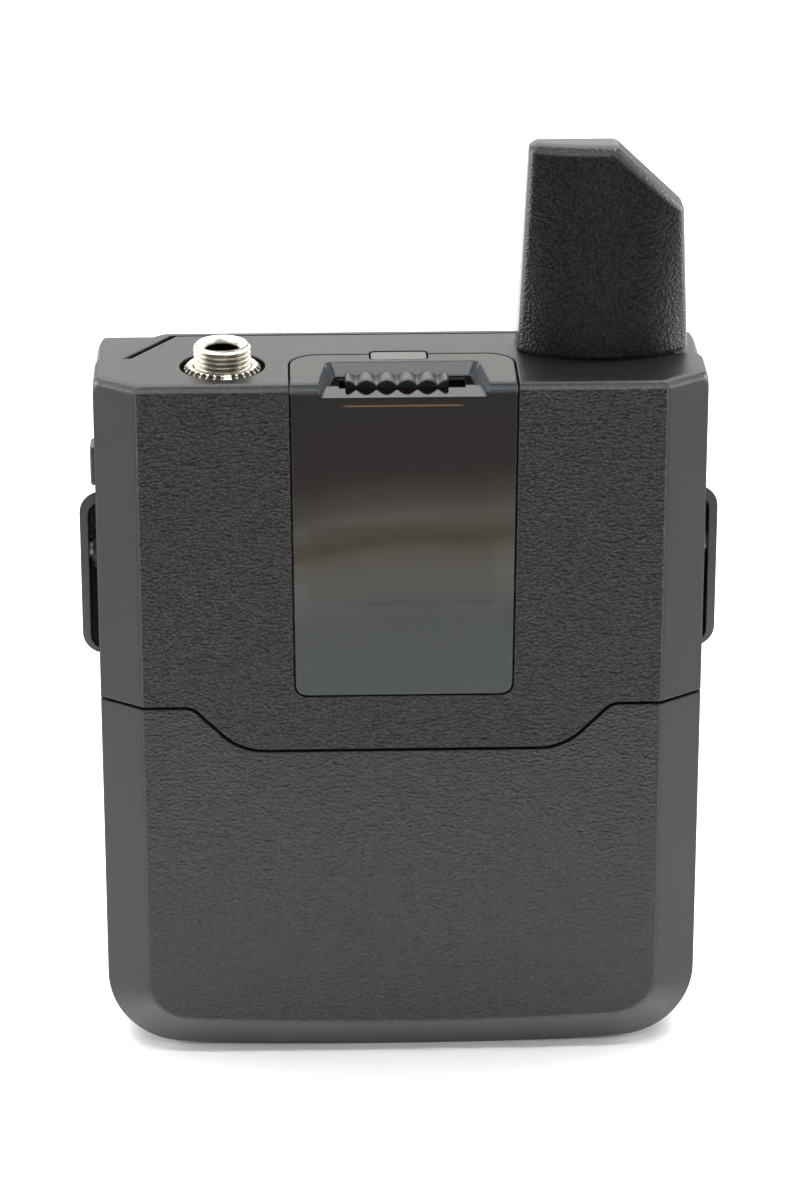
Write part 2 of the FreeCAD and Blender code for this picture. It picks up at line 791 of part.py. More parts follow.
# ---------------------------------------------------------------- side button


def side_button():
    plan = rectangle(button_y - button_half_y, button_y + button_half_y, button_z - button_half_z,
                     button_z + button_half_z, 0.6)
    outer_x = -half_width - button_proud
    inner_x = -half_width + wall + 0.1
    cap = prism(plan, on_yz(outer_x), V(inner_x - outer_x, 0, 0))
    cap = rounded(cap, 0.3, lambda bounds: bounds.XMax < outer_x + touch)
    flange = box(inner_x, inner_x + 0.6, button_y - 2.1, button_y + 2.4, button_z - 3.2, button_z + 3.2)
    return cap.fuse(flange)


def side_switch():
    """Push switch on the edge of the board, with its plunger just behind the pressed button."""
    plunger_x = -half_width + wall + 0.7 + button_travel + touch
    case = box(plunger_x + 0.7, plunger_x + 3.6, -1.6, board_front_y, button_z - 2.0, button_z + 2.0)
    plunger = box(plunger_x, plunger_x + 0.7, -0.6, 1.2, button_z - 0.9, button_z + 0.9)
    return case.fuse(plunger)


# ---------------------------------------------------------------- battery pack


def pack_walls(outer):
    block = outer.common(below_parting(-pack_gap / 2))
    cavity = body_block(pack_wall, pack_side_z - pack_gap / 2 - deck_thickness, back_y - pack_wall)
    step = box(-25.5, 25.5, front_y, front_y + 3.5, pack_middle_z - 2.2, far)
    return block.cut(cavity.cut(step))


def latch_way():
    """Slot in the pack's top deck for the latch arms."""
    return both_sides(box(26.2, half_width - pack_wall - 0.3, release_y - 2.4, release_y + 2.4,
                          pack_side_z - 3 * deck_thickness, pack_side_z + 1))


def pack_cover(outer):
    split = box(-far, far, -far, side_seam_y - 0.1, -far, far)
    return pack_walls(outer).common(split).cut(latch_way()).cut(blade_slots())


def blade_slots():
    """Ways through the pack's deck and tongue for the contact blades."""
    slots = [box(x - 1.3, x + 1.3, -1.6, 1.6, cell_high_z, far) for x in contact_places]
    return Part.makeCompound(slots)


def release_opening():
    grow = 0.2
    plan = rectangle(release_y - release_half_y - grow, release_y + release_half_y + grow,
                     release_z - release_half_z - grow, release_z + release_half_z + grow, 1.4)
    return both_sides(prism(plan, on_yz(half_width - 2 * pack_wall), V(far, 0, 0)))


def pack_base(outer):
    split = box(-far, far, side_seam_y + 0.1, far, -far, far)
    base = pack_walls(outer).common(split)
    tongue = box(-tongue_x, tongue_x, -tongue_y, tongue_y, pack_side_z - pack_gap / 2 + touch,
            tongue_top_z)
    tongue = tongue.fuse(box(-tongue_x, tongue_x, side_seam_y + 0.1, tongue_y, 40.5, tongue_top_z))
    base = base.fuse(tongue)
    spring_wall = box(spring_wall_x - 1.1, spring_wall_x, release_y - 3.2,
            back_y - pack_wall + 0.1, release_z - 6, release_z + 6)
    base = base.fuse(both_sides(spring_wall))
    base = base.cut(blade_slots())
    for x in charge_places():
        base = base.cut(rod_y(x, inner_back_y - 2, far, 9.0, 1.65))
    return base.cut(latch_way()).cut(release_opening())


def charge_places():
    return [-7.0, 0.0, 7.0]


def charge_contacts():
    """Round gold pads, slightly sunk in the back of the pack."""
    pads = []
    for x in charge_places():
        pad = rod_y(x, back_y - pack_wall, back_y - 0.3, 9.0, 1.62)
        pads.append(pad.fuse(rod_y(x, back_y - pack_wall - 0.8, back_y - pack_wall, 9.0, 1.0)))
    return Part.makeCompound(pads)


def lithium_cell():
    plan = rectangle(-cell_half, cell_half, -4.95, 4.95, 1.6)
    return prism(plan, on_xy(cell_low_z), V(0, 0, cell_high_z - cell_low_z))


def cell_pad():
    return box(-19, 19, front_y + pack_wall, -5.0, 8.0, 33.0)


def pack_board():
    board = box(-22, 22, -4.6, 6.4, cell_high_z + 1.2, cell_high_z + 2.2)
    chip = box(10, 14, 1, 5, cell_high_z + 2.2, cell_high_z + 3.1)
    return board.fuse(chip)


def pack_contacts():
    """Contact blades from the pack's board to the top of the tongue."""
    low_z = cell_high_z + 2.2
    return Part.makeCompound([box(x - 1.2, x + 1.2, -1.5, 1.5, low_z,
            tongue_top_z) for x in contact_places])


def release_button():
    """Right-hand release button: the thumb pad, its flange, and the latch arm up to the housing."""
    plan = rectangle(release_y - release_half_y, release_y + release_half_y, release_z - release_half_z,
                     release_z + release_half_z, 1.2)
    flange_x = half_width - pack_wall - 0.1
    pad = prism(plan, on_yz(flange_x), V(half_width - flange_x, 0, 0))
    for i in range(5):
        z = release_z + (i - 2) * 1.8
        pad = pad.cut(rod_y(half_width + 0.35, -far, far, z, 0.7))
    flange = box(flange_x - 0.8, flange_x, release_y - 3.0, release_y + 3.0, release_z - 7.0,
            release_z + 7.0)
    arm = box(flange_x - 1.8, flange_x - 0.8, release_y - 2.0, release_y + 2.0, release_z + 4.0,
            latch_top_z)
    nose = [(flange_x - 0.8, latch_top_z, 0), (flange_x - 0.8, latch_top_z - 2.0, 0),
            (flange_x - 0.1, latch_top_z - 1.4, 0)]
    hook = prism(nose, on_xz(release_y - 2.0), V(0, 4.0, 0))
    return pad.fuse(flange).fuse(arm).fuse(hook)


def release_spring():
    """Bowed leaf spring behind the right-hand release button."""
    foot_x = spring_wall_x + touch
    nose_x = half_width - pack_wall - 0.9 - touch
    inner_x = nose_x - spring_leaf
    half = 4.2
    bow = [(foot_x, release_z - half, 0), (nose_x, release_z - 1.5, 1.5), (nose_x, release_z + 1.5, 1.5),
           (foot_x, release_z + half, 0), (foot_x, release_z + half - 0.4, 0), (inner_x,
           release_z + 1.35, 1.3),
           (inner_x, release_z - 1.35, 1.3), (foot_x, release_z - half + 0.4, 0)]
    return prism(bow, on_xz(release_y - 1.5), V(0, 3.0, 0))


# ---------------------------------------------------------------- belt clip


def clip_envelope(shrink):
    """The space inside the clip's outer faces, or with a shrink inside its sheet's inner faces."""
    half = clip_arm_x - shrink
    rear = back_y + clip_gap + clip_plate - shrink
    section = rectangle(-half, half, clip_low_z + shrink, clip_high_z - shrink, clip_bend_radius - shrink)
    plan = rectangle(-half, half, -far, rear, clip_corner_radius - shrink)
    block = prism(section, on_xz(clip_front_y - shrink), V(0, far, -clip_arm_slope * far))
    return block.common(prism(plan, on_xy(-far), V(0, 0, 3 * far)))


def clip_frame():
    """One bent sheet: a plate behind the body and an arm at each side, with the arms' edges bent in."""
    sheet = clip_envelope(0).cut(clip_envelope(clip_plate))
    body_room = half_width + 0.3
    sheet = sheet.cut(box(-body_room, body_room, -far, back_y + clip_gap, 0, 2 * far))
    return sheet.cut(both_sides(rod_x(half_width, far, clip_pivot_y, clip_pivot_z, pivot_pin_r + 0.02)))


def clip_tongue():
    """Springy tongue that holds the belt, with a kicked-in lip at its lower end."""
    y0 = back_y + clip_gap
    y1 = y0 + clip_plate
    lip_y = back_y + 1.0
    section = [(y0, 52, 0), (y0, 24.0, 5.0), (lip_y, 14.4, 1.2), (lip_y + 2.2, 9.0, 0),
               (lip_y + 3.05, 9.3, 0), (lip_y + 0.95, 14.5, 0.6), (y1, 24.2, 5.0), (y1, 52, 0)]
    blade = prism(section, on_yz(-tongue_half), V(2 * tongue_half, 0, 0))
    plan = [(-tongue_half, 60, 0), (-tongue_half, 30, 2), (-tongue_tip_half, 7, 2.5),
            (tongue_tip_half, 7, 2.5),
            (tongue_half, 30, 2), (tongue_half, 60, 0)]
    return blade.common(prism(plan, on_xz(0), V(0, far, 0)))


def belt_clip():
    return clip_frame().fuse(clip_tongue())


def clip_pins():
    pin = rod_x(half_width - wall - 0.7, clip_arm_x - 0.1, clip_pivot_y, clip_pivot_z, pivot_pin_r)
    return both_sides(pin)


def main():
    os.makedirs("parts", exist_ok=True)
    outer = outer_body()
    save("front_shell", front_shell(outer))
    save("rear_shell", rear_shell(outer))
    save("base_panel", base_panel())
    save("display_window", display_window(outer))
    save("led_lens", led_lens())
    save("status_led", status_led())
    save("case_screws", case_screws())
    save("pivot_bushes", pivot_bushes())
    save("battery_terminals", battery_terminals())
    save("jack_bushing", jack_bushing())
    save("jack_nut", jack_nut())
    save("jack_body", jack_body())
    save("jack_contacts", jack_contacts())
    save("antenna_cap", antenna_cap())
    save("antenna_seal", antenna_seal())
    save("antenna_element", antenna_element())
    save("antenna_contact", antenna_contact())
    save("lcd_glass", lcd_glass())
    save("lcd_backlight", lcd_backlight())
    save("lcd_frame", lcd_frame())
    save("main_board", main_board())
    save("board_chips", board_chips())
    save("rf_shield", rf_shield())
    save("board_screws", board_screws())
    save("switch_board", switch_board())
    save("mute_switch_body", mute_switch_body())
    save("mute_switch_lever", mute_switch_lever())
    save("mute_slider", mute_slider())
    save("side_button", side_button())
    save("side_switch", side_switch())
    save("pack_cover", pack_cover(outer))
    save("pack_base", pack_base(outer))
    save("charge_contacts", charge_contacts())
    save("lithium_cell", lithium_cell())
    save("cell_pad", cell_pad())
    save("pack_board", pack_board())
    save("pack_contacts", pack_contacts())
    save("release_button_right", release_button())
    save("release_button_left", mirrored(release_button()))
    save("release_spring_right", release_spring())
    save("release_spring_left", mirrored(release_spring()))
    save("belt_clip", belt_clip())
    save("clip_pins", clip_pins())


main()
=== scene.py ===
import json
import math

import bmesh
import bpy
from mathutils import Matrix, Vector


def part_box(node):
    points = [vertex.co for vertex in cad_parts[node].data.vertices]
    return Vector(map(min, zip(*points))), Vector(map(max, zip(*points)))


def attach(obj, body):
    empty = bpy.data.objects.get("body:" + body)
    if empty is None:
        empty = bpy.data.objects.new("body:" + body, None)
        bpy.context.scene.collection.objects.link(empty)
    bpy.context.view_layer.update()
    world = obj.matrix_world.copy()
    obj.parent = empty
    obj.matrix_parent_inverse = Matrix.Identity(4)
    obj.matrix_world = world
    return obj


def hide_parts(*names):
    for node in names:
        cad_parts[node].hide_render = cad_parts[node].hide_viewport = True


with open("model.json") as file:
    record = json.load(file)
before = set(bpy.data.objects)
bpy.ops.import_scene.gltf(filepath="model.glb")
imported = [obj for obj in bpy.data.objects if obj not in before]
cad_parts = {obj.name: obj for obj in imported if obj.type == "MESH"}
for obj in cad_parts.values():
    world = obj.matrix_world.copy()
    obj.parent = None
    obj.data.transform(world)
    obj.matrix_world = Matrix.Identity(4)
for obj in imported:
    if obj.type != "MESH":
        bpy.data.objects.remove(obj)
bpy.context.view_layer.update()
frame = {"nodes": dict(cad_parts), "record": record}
print("frame loaded:", len(frame["nodes"]), "nodes")

mm = 0.001


# A shader socket that arithmetic can be written on: each operator adds one Math node.
class Signal:
    def __init__(self, finish, socket):
        self.finish = finish
        self.socket = socket

    def joined(self, operation, first, second):
        return self.finish.node("ShaderNodeMath", {"operation": operation}, {0: first, 1: second})

    def __add__(self, other):
        return self.joined("ADD", self, other)

    def __radd__(self, other):
        return self.joined("ADD", other, self)

    def __sub__(self, other):
        return self.joined("SUBTRACT", self, other)

    def __rsub__(self, other):
        return self.joined("SUBTRACT", other, self)

    def __mul__(self, other):
        return self.joined("MULTIPLY", self, other)

    def __rmul__(self, other):
        return self.joined("MULTIPLY", other, self)

    def __truediv__(self, other):
        return self.joined("DIVIDE", self, other)

    def __gt__(self, other):
        return self.joined("GREATER_THAN", self, other)

    def __lt__(self, other):
        return self.joined("LESS_THAN", self, other)

    def __abs__(self):
        return self.joined("ABSOLUTE", self, 0.0)

    def largest(self, other):
        return self.joined("MAXIMUM", self, other)

    def smallest(self, other):
        return self.joined("MINIMUM", self, other)


# One material: its node tree, the Principled shader, and the one method that adds any other node.
class Finish:
    def __init__(self, name, **shaderValues):
        self.material = bpy.data.materials.new(name)
        self.material.use_nodes = True
        self.tree = self.material.node_tree
        self.tree.nodes.clear()
        self.shader = self.tree.nodes.new("ShaderNodeBsdfPrincipled")
        output = self.tree.nodes.new("ShaderNodeOutputMaterial")
        self.tree.links.new(self.shader.outputs["BSDF"], output.inputs["Surface"])
        self.feed(self.shader, shaderValues)

    def feed(self, node, values):
        for key, value in values.items():
            name = key.replace("_", " ") if isinstance(key, str) else key
            socket = node.inputs[name]
            if isinstance(value, Signal):
                self.tree.links.new(value.socket, socket)
            elif isinstance(value, tuple) and len(value) == 3 and socket.type == "RGBA":
                socket.default_value = (*value, 1.0)
            else:
                socket.default_value = value

    def node(self, kind, settings=None, values=None, output=0):
        made = self.tree.nodes.new(kind)
        for key, value in (settings or {}).items():
            if key == "stops":
                self.setStops(made.color_ramp, value)
            else:
                setattr(made, key, value)
        self.feed(made, values or {})
        return Signal(self, made.outputs[output])

    def setStops(self, ramp, stops):
        while len(ramp.elements) < len(stops):
            ramp.elements.new(0.5)
        for element, (position, tone) in zip(ramp.elements, stops):
            element.position = position
            element.color = (*tone, 1.0) if isinstance(tone, tuple) else (tone, tone, tone, 1.0)

    def place(self):
        return self.node("ShaderNodeTexCoord", output="Object")

    def facing(self):
        return self.node("ShaderNodeTexCoord", output="Normal")

    def axes(self, vector):
        across = self.node("ShaderNodeSeparateXYZ", {}, {0: vector})
        return [Signal(self, socket) for socket in across.socket.node.outputs]

    def noise(self, scale, detail=2.0, roughness=0.5, where=None):
        values = {"Vector": where or self.place(), "Scale": scale, "Detail": detail, "Roughness": roughness}
        return self.node("ShaderNodeTexNoise", {}, values, "Fac")

    def pebbles(self, scale, where):
        values = {"Vector": where, "Scale": scale}
        return self.node("ShaderNodeTexVoronoi", {"feature": "F1"}, values, "Distance")

    def stretched(self, factors):
        return self.node("ShaderNodeVectorMath", {"operation": "MULTIPLY"}, {0: self.place(), 1: factors})

    def ranged(self, value, low, high, toLow=0.0, toHigh=1.0):
        values = {"Value": value, "From Min": low, "From Max": high, "To Min": toLow, "To Max": toHigh}
        return self.node("ShaderNodeMapRange", {"interpolation_type": "SMOOTHSTEP"}, values)

    def blendedColour(self, mask, first, second):
        values = {"Factor": mask, 6: first, 7: second}
        return self.node("ShaderNodeMix", {"data_type": "RGBA"}, values, 2)

    def edgeWear(self, radius):
        # how far the softened normal leans from the true one, which is only at edges
        soft = self.node("ShaderNodeBevel", {"samples": 4}, {"Radius": radius})
        true = self.node("ShaderNodeNewGeometry", output="True Normal")
        lean = self.node("ShaderNodeVectorMath", {"operation": "DOT_PRODUCT"}, {0: soft, 1: true}, "Value")
        return self.ranged(lean, 0.995, 0.90)

    def relief(self, height, strength, distance, softEdge=0.0):
        values = {"Height": height, "Strength": strength, "Distance": distance}
        if softEdge:
            values["Normal"] = self.node("ShaderNodeBevel", {"samples": 4}, {"Radius": softEdge})
        return self.node("ShaderNodeBump", {}, values)

    def set(self, **values):
        self.feed(self.shader, values)
        return self.material


shellLook = {
    "tone": (0.0165, 0.0172, 0.0168), "deepTone": (0.0012, 0.0014, 0.0014),
    "wornTone": (0.030, 0.032, 0.032), "rolledTone": (0.085, 0.092, 0.096),
    "roughness": 0.33, "smoothRoughness": 0.36, "gloss": 0.35,
    "grainScale": 3000.0, "fineScale": 6400.0, "grainDepth": 0.24 * mm, "grainFacing": (-0.90, -0.985),
    "edge": 0.28 * mm,
}

packLook = {
    **shellLook, "tone": (0.0150, 0.0157, 0.0154), "deepTone": (0.0060, 0.0064, 0.0064),
    "grainDepth": 0.14 * mm,
}

antennaLook = {
    "tone": (0.0130, 0.0130, 0.0122), "deepTone": (0.0003, 0.0003, 0.0002),
    "wornTone": (0.035, 0.037, 0.037), "rolledTone": (0.060, 0.066, 0.070),
    "roughness": 0.33, "smoothRoughness": 0.24, "gloss": 0.34,
    "grainScale": 3300.0, "fineScale": 7400.0, "grainDepth": 0.065 * mm, "grainFacing": (-0.30, -0.80),
    "edge": 0.35 * mm,
}


def grainedPlastic(name, look):
    f = Finish(name, Specular_IOR_Level=look["gloss"], IOR=1.5)
    _, y, z = f.axes(f.facing())
    # the spark-eroded grain is on faces that look forward, and fades out towards the sides
    grained = f.ranged(y, *look["grainFacing"])
    lay = f.stretched((0.88, 1.0, 1.18))
    wavy = f.noise(look["grainScale"] * 0.35, 2.0, where=lay)
    lumps = f.noise(look["grainScale"], 2.0, 0.45, where=lay)
    drift = f.node("ShaderNodeCombineXYZ", {}, {0: wavy * 0.35 * mm, 2: lumps * 0.30 * mm})
    warped = f.node("ShaderNodeVectorMath", {"operation": "ADD"}, {0: lay, 1: drift})
    pits = f.pebbles(look["grainScale"], warped)
    fine = f.noise(look["fineScale"], 3.0, 0.6)
    coarse = lumps * 0.30 + pits * 0.80
    height = coarse * (0.06 + grained * 0.94) + fine * 0.07
    cloud = f.noise(55.0, 3.0, 0.6)
    wear = f.edgeWear(look["edge"] * 1.4)
    depth = f.ranged(coarse * grained + (1 - grained) * 0.48, 0.25, 0.70)
    tone = f.blendedColour(depth, look["tone"], look["deepTone"])
    tone = f.blendedColour(wear * fine * 0.35, tone, look["wornTone"])
    # a lighter tone on the rolled upper and lower edges stands in for the highlight they carry
    rolled = f.ranged(z, 0.18, 0.38) * f.ranged(z, 0.86, 0.62) + f.ranged(z, -0.10, -0.40) * 0.5
    rolled = rolled * f.ranged(y, -0.30, -0.50)
    tone = f.blendedColour(rolled * (0.35 + 0.9 * coarse), tone, look["rolledTone"])
    rough = look["smoothRoughness"] + grained * (look["roughness"] - look["smoothRoughness"])
    rough = rough + (cloud - 0.5) * 0.10 + (wavy - 0.5) * 0.06 - wear * 0.05
    bump = f.relief(height, 0.9, look["grainDepth"], look["edge"])
    return f.set(Base_Color=tone, Roughness=rough, Normal=bump)


windowLook = {
    "maskAlpha": 0.97, "openAlpha": 0.88, "roughness": 0.045, "edge": 0.22 * mm, "gloss": 0.27,
    "reflectionLowZ": 43.0 * mm, "reflectionHighZ": 75.0 * mm, "reflectionSway": 5.0 * mm, "reflectionTilt": 0.09,
    "openInset": 0.9 * mm, "openFade": 0.3 * mm,
    "warmLine": (0.13, 0.07, 0.038), "lineX": 0.1 * mm, "lineZ": 75.45 * mm,
    "lineHalf": (5.6 * mm, 6.6 * mm), "lineThick": (0.06 * mm, 0.13 * mm),
    "trayWall": (0.075, 0.085, 0.092), "trayDeep": 1.6 * mm, "trayX": 0.2 * mm, "trayHalf": 9.6 * mm,
    # the ramp's stops hold the smoked tone with painted reflection bands, from low on the window to its top
    "stops": [(0.0, (0.036, 0.042, 0.041)), (0.26, (0.042, 0.048, 0.046)), (0.32, (0.056, 0.058, 0.053)),
              (0.40, (0.066, 0.064, 0.056)), (0.475, (0.058, 0.050, 0.039)), (0.52, (0.034, 0.027, 0.017)),
              (0.60, (0.050, 0.044, 0.035)), (0.66, (0.028, 0.023, 0.017)), (0.76, (0.007, 0.0022, 0.0006)),
              (1.0, (0.003, 0.0006, 0.0002))],
}


def smokedWindowPaintedReflection(name, look):
    f = Finish(name, IOR=1.49, Specular_IOR_Level=look["gloss"])
    low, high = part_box("display_window")
    glassLow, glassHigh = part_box("lcd_glass")
    middle = (glassLow + glassHigh) / 2
    half = (glassHigh - glassLow) / 2
    x, y, z = f.axes(f.place())
    # the smoked tone and the painted reflection bands run up the window, a little wavy and tilted
    reflectionSway = f.noise(55.0, 1.5, where=f.stretched((1.0, 1.0, 0.4)))
    lean = (reflectionSway - 0.5) * look["reflectionSway"] - x * look["reflectionTilt"]
    height = (z + lean - look["reflectionLowZ"]) / (look["reflectionHighZ"] - look["reflectionLowZ"])
    tone = f.node("ShaderNodeValToRGB", {"stops": look["stops"]}, {0: height})

    def within(distance, reach):
        edge = reach - look["openInset"]
        return f.ranged(abs(distance), edge, edge + look["openFade"], 1.0, 0.0)

    # the printed mask behind the acrylic leaves a clear opening over the display
    opening = within(x - middle.x, half.x) * within(z - middle.z, half.z)
    front = y < low.y + 0.3 * mm
    lineSide = f.ranged(abs(x - look["lineX"]), *look["lineHalf"], 1.0, 0.0)
    lineEnd = f.ranged(abs(z - look["lineZ"]), *look["lineThick"], 1.0, 0.0)
    tone = f.blendedColour(lineSide * lineEnd * front, tone, look["warmLine"])
    behindFront = y > low.y + 0.5 * mm
    insideTray = (z > high.z - look["trayDeep"]) * behindFront * (abs(x - look["trayX"]) < look["trayHalf"])
    # a paler tone on the tray's walls and the rolled front edge stands in for the light in them
    _, _, up = f.axes(f.facing())
    band = f.ranged(z, high.z - 1.1 * mm, high.z - 0.7 * mm)
    tone = f.blendedColour(insideTray.largest(band) * (up < 0.8), tone, look["trayWall"])
    smudge = f.noise(38.0, 4.0, 0.6)
    hairline = f.noise(900.0, 2.0, 0.5, where=f.stretched((0.08, 1.0, 1.0)))
    rough = look["roughness"] + f.ranged(smudge, 0.45, 0.75) * 0.05 + f.ranged(hairline, 0.62, 0.80) * 0.04
    ripple = f.noise(60.0, 1.0)
    bump = f.relief(ripple, 0.10, 0.05 * mm, look["edge"])
    alpha = look["maskAlpha"] - opening * front * (look["maskAlpha"] - look["openAlpha"])
    return f.set(Base_Color=tone, Roughness=rough, Normal=bump, Alpha=alpha)


nickelLook = {
    "tone": (0.62, 0.59, 0.52), "dark": (0.42, 0.37, 0.28), "roughness": 0.24, "edge": 0.12 * mm,
    "bore": (0.045, 0.032, 0.020), "boreRadius": 1.95 * mm, "boreFrom": (0.45 * mm, 0.75 * mm),
    "rootShade": (0.16, 0.14, 0.10), "rootShadeStrength": 0.75, "threadCrest": (2.93 * mm, 2.76 * mm),
    "threadRoot": (2.60 * mm, 2.70 * mm), "nutRim": (3.90 * mm, 3.74 * mm), "nutFace": 3.66 * mm,
}


def platedNickel(name, look):
    f = Finish(name, Metallic=1.0)
    low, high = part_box("jack_bushing")
    x, y, z = f.axes(f.place())
    outward = f.node("ShaderNodeCombineXYZ", {}, {0: x - (low.x + high.x) / 2, 1: y - (low.y + high.y) / 2})
    fromAxis = f.node("ShaderNodeVectorMath", {"operation": "LENGTH"}, {0: outward}, "Value")
    # the dark tone deepening down the bore is painted shade in the hole
    boreTop, boreFull = look["boreFrom"]
    paintedBoreShade = (fromAxis < look["boreRadius"]) * f.ranged(z, high.z - boreTop, high.z - boreFull)
    _, _, up = f.axes(f.facing())
    haze = f.noise(700.0, 4.0, 0.6)
    stain = f.noise(160.0, 3.0, 0.55)
    turning = f.noise(1500.0, 2.0, 0.5, where=f.stretched((0.15, 0.15, 6.0)))
    wear = f.edgeWear(look["edge"])
    tone = f.blendedColour(f.ranged(stain, 0.50, 0.85) * 0.5 * (1 - wear), look["tone"], look["dark"])
    tone = f.blendedColour(paintedBoreShade, tone, look["bore"])
    # painted shade darkens the roots of the thread and the roots between the nut's teeth
    rootShade = f.ranged(fromAxis, *look["threadCrest"]) * f.ranged(fromAxis, *look["threadRoot"])
    rimShade = f.ranged(fromAxis, *look["nutRim"]) * (fromAxis > look["nutFace"])
    rootShade = rootShade.largest(rimShade) * (up < 0.8)
    tone = f.blendedColour(rootShade * look["rootShadeStrength"], tone, look["rootShade"])
    rough = look["roughness"] + haze * 0.10 + turning * 0.06 - wear * 0.06
    return f.set(Base_Color=tone, Roughness=rough, Normal=f.relief(turning, 0.10, 0.02 * mm, 0.06 * mm))


satinLook = {"tone": (0.020, 0.0215, 0.022), "wornTone": (0.055, 0.058, 0.06), "roughness": 0.36}


def satinPlastic(name, look):
    f = Finish(name, IOR=1.5, Specular_IOR_Level=0.5)
    fine = f.noise(5200.0, 3.0, 0.6)
    cloud = f.noise(240.0, 3.0, 0.55)
    wear = f.edgeWear(0.22 * mm)
    deep = tuple(0.75 * c for c in look["tone"])
    tone = f.blendedColour(f.ranged(cloud, 0.3, 0.7), deep, look["tone"])
    tone = f.blendedColour(wear * 0.6, tone, look["wornTone"])
    rough = look["roughness"] + (cloud - 0.5) * 0.12 + fine * 0.05
    return f.set(Base_Color=tone, Roughness=rough, Normal=f.relief(fine, 0.22, 0.02 * mm, 0.15 * mm))


def lightPipe(name):
    f = Finish(name, IOR=1.5, Subsurface_Weight=0.25, Subsurface_Scale=0.8 * mm)
    cloud = f.noise(700.0, 3.0, 0.5)
    tone = f.blendedColour(cloud, (0.050, 0.052, 0.049), (0.075, 0.078, 0.073))
    rough = 0.32 + cloud * 0.12
    return f.set(Base_Color=tone, Roughness=rough, Normal=f.relief(cloud, 0.06, 0.03 * mm, 0.15 * mm))


coatLook = {"tone": (0.019, 0.020, 0.021), "wornTone": (0.14, 0.145, 0.15), "roughness": 0.33}


def powderCoat(name, look):
    f = Finish(name, IOR=1.5, Specular_IOR_Level=0.55)
    orange = f.noise(2100.0, 2.0, 0.45)
    fine = f.noise(8000.0, 2.0, 0.5)
    cloud = f.noise(90.0, 4.0, 0.6)
    wear = f.edgeWear(0.2 * mm)
    chips = f.ranged(f.noise(1300.0, 4.0, 0.7), 0.58, 0.66)
    tone = f.blendedColour(f.ranged(cloud, 0.35, 0.7), tuple(0.8 * c for c in look["tone"]), look["tone"])
    tone = f.blendedColour(wear * chips, tone, look["wornTone"])
    rough = look["roughness"] + (cloud - 0.5) * 0.12 + fine * 0.05
    return f.set(Base_Color=tone, Roughness=rough, Normal=f.relief(orange, 0.25, 0.025 * mm, 0.18 * mm))


def brightSteel(name, tone, roughness, brushed=(1.0, 1.0, 8.0)):
    f = Finish(name, Metallic=1.0)
    lines = f.noise(1800.0, 3.0, 0.6, where=f.stretched(brushed))
    cloud = f.noise(300.0, 3.0, 0.5)
    dark = tuple(0.55 * c for c in tone)
    shade = f.blendedColour(f.ranged(cloud, 0.45, 0.85), tone, dark)
    rough = roughness + lines * 0.12 + cloud * 0.06
    return f.set(Base_Color=shade, Roughness=rough, Normal=f.relief(lines, 0.12, 0.01 * mm, 0.05 * mm))


def circuitBoard(name):
    f = Finish(name, IOR=1.5, Coat_Roughness=0.15)
    x, _, z = f.axes(f.place())
    weave = f.noise(2600.0, 2.0)
    flat = f.node("ShaderNodeCombineXYZ", {}, {0: x, 1: z})
    lanes = f.node("ShaderNodeTexBrick", {"offset": 0.35}, {
        "Vector": flat, "Scale": 420.0, "Mortar Size": 0.012,
        "Color1": (0.0, 0.0, 0.0), "Color2": (0.15, 0.15, 0.15), "Mortar": (1.0, 1.0, 1.0)}, "Fac")
    tone = f.blendedColour(lanes * 0.6, (0.008, 0.055, 0.022), (0.02, 0.11, 0.045))
    rough = 0.28 + weave * 0.10
    bump = f.relief(lanes * 0.6 + weave * 0.2, 0.2, 0.03 * mm)
    return f.set(Base_Color=tone, Roughness=rough, Normal=bump)


def displayGlass(name):
    f = Finish(name, IOR=1.5, Specular_IOR_Level=0.4)
    low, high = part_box("lcd_glass")
    x, _, z = f.axes(f.place())
    middle = (low + high) / 2
    half = (high - low) / 2
    fromSide = half.x - abs(x - middle.x)
    fromEnd = half.z - abs(z - middle.z)
    rim = f.ranged(fromSide.smallest(fromEnd), 0.5 * mm, 0.7 * mm)
    cells = f.noise(4200.0, 1.0, 0.5)
    tone = f.blendedColour(rim, (0.10, 0.10, 0.095), (0.22, 0.225, 0.205))
    rough = 0.22 + cells * 0.06
    return f.set(Base_Color=tone, Roughness=rough, Normal=f.relief(cells, 0.03, 0.01 * mm))


def softRubber(name, tone):
    f = Finish(name, IOR=1.45, Specular_IOR_Level=0.35)
    fine = f.noise(3000.0, 3.0, 0.6)
    dust = f.noise(500.0, 4.0, 0.6)
    shade = f.blendedColour(f.ranged(dust, 0.5, 0.8) * 0.5, tone, tuple(2.2 * c for c in tone))
    return f.set(Base_Color=shade, Roughness=0.62 + fine * 0.2, Normal=f.relief(fine, 0.3, 0.03 * mm))


def cellSleeve(name):
    f = Finish(name, IOR=1.5)
    wrinkle = f.noise(260.0, 3.0, 0.6, where=f.stretched((0.25, 1.0, 1.0)))
    tone = f.blendedColour(f.ranged(wrinkle, 0.3, 0.7), (0.16, 0.18, 0.21), (0.22, 0.25, 0.29))
    return f.set(Base_Color=tone, Roughness=0.3 + wrinkle * 0.1, Normal=f.relief(wrinkle, 0.25, 0.1 * mm))


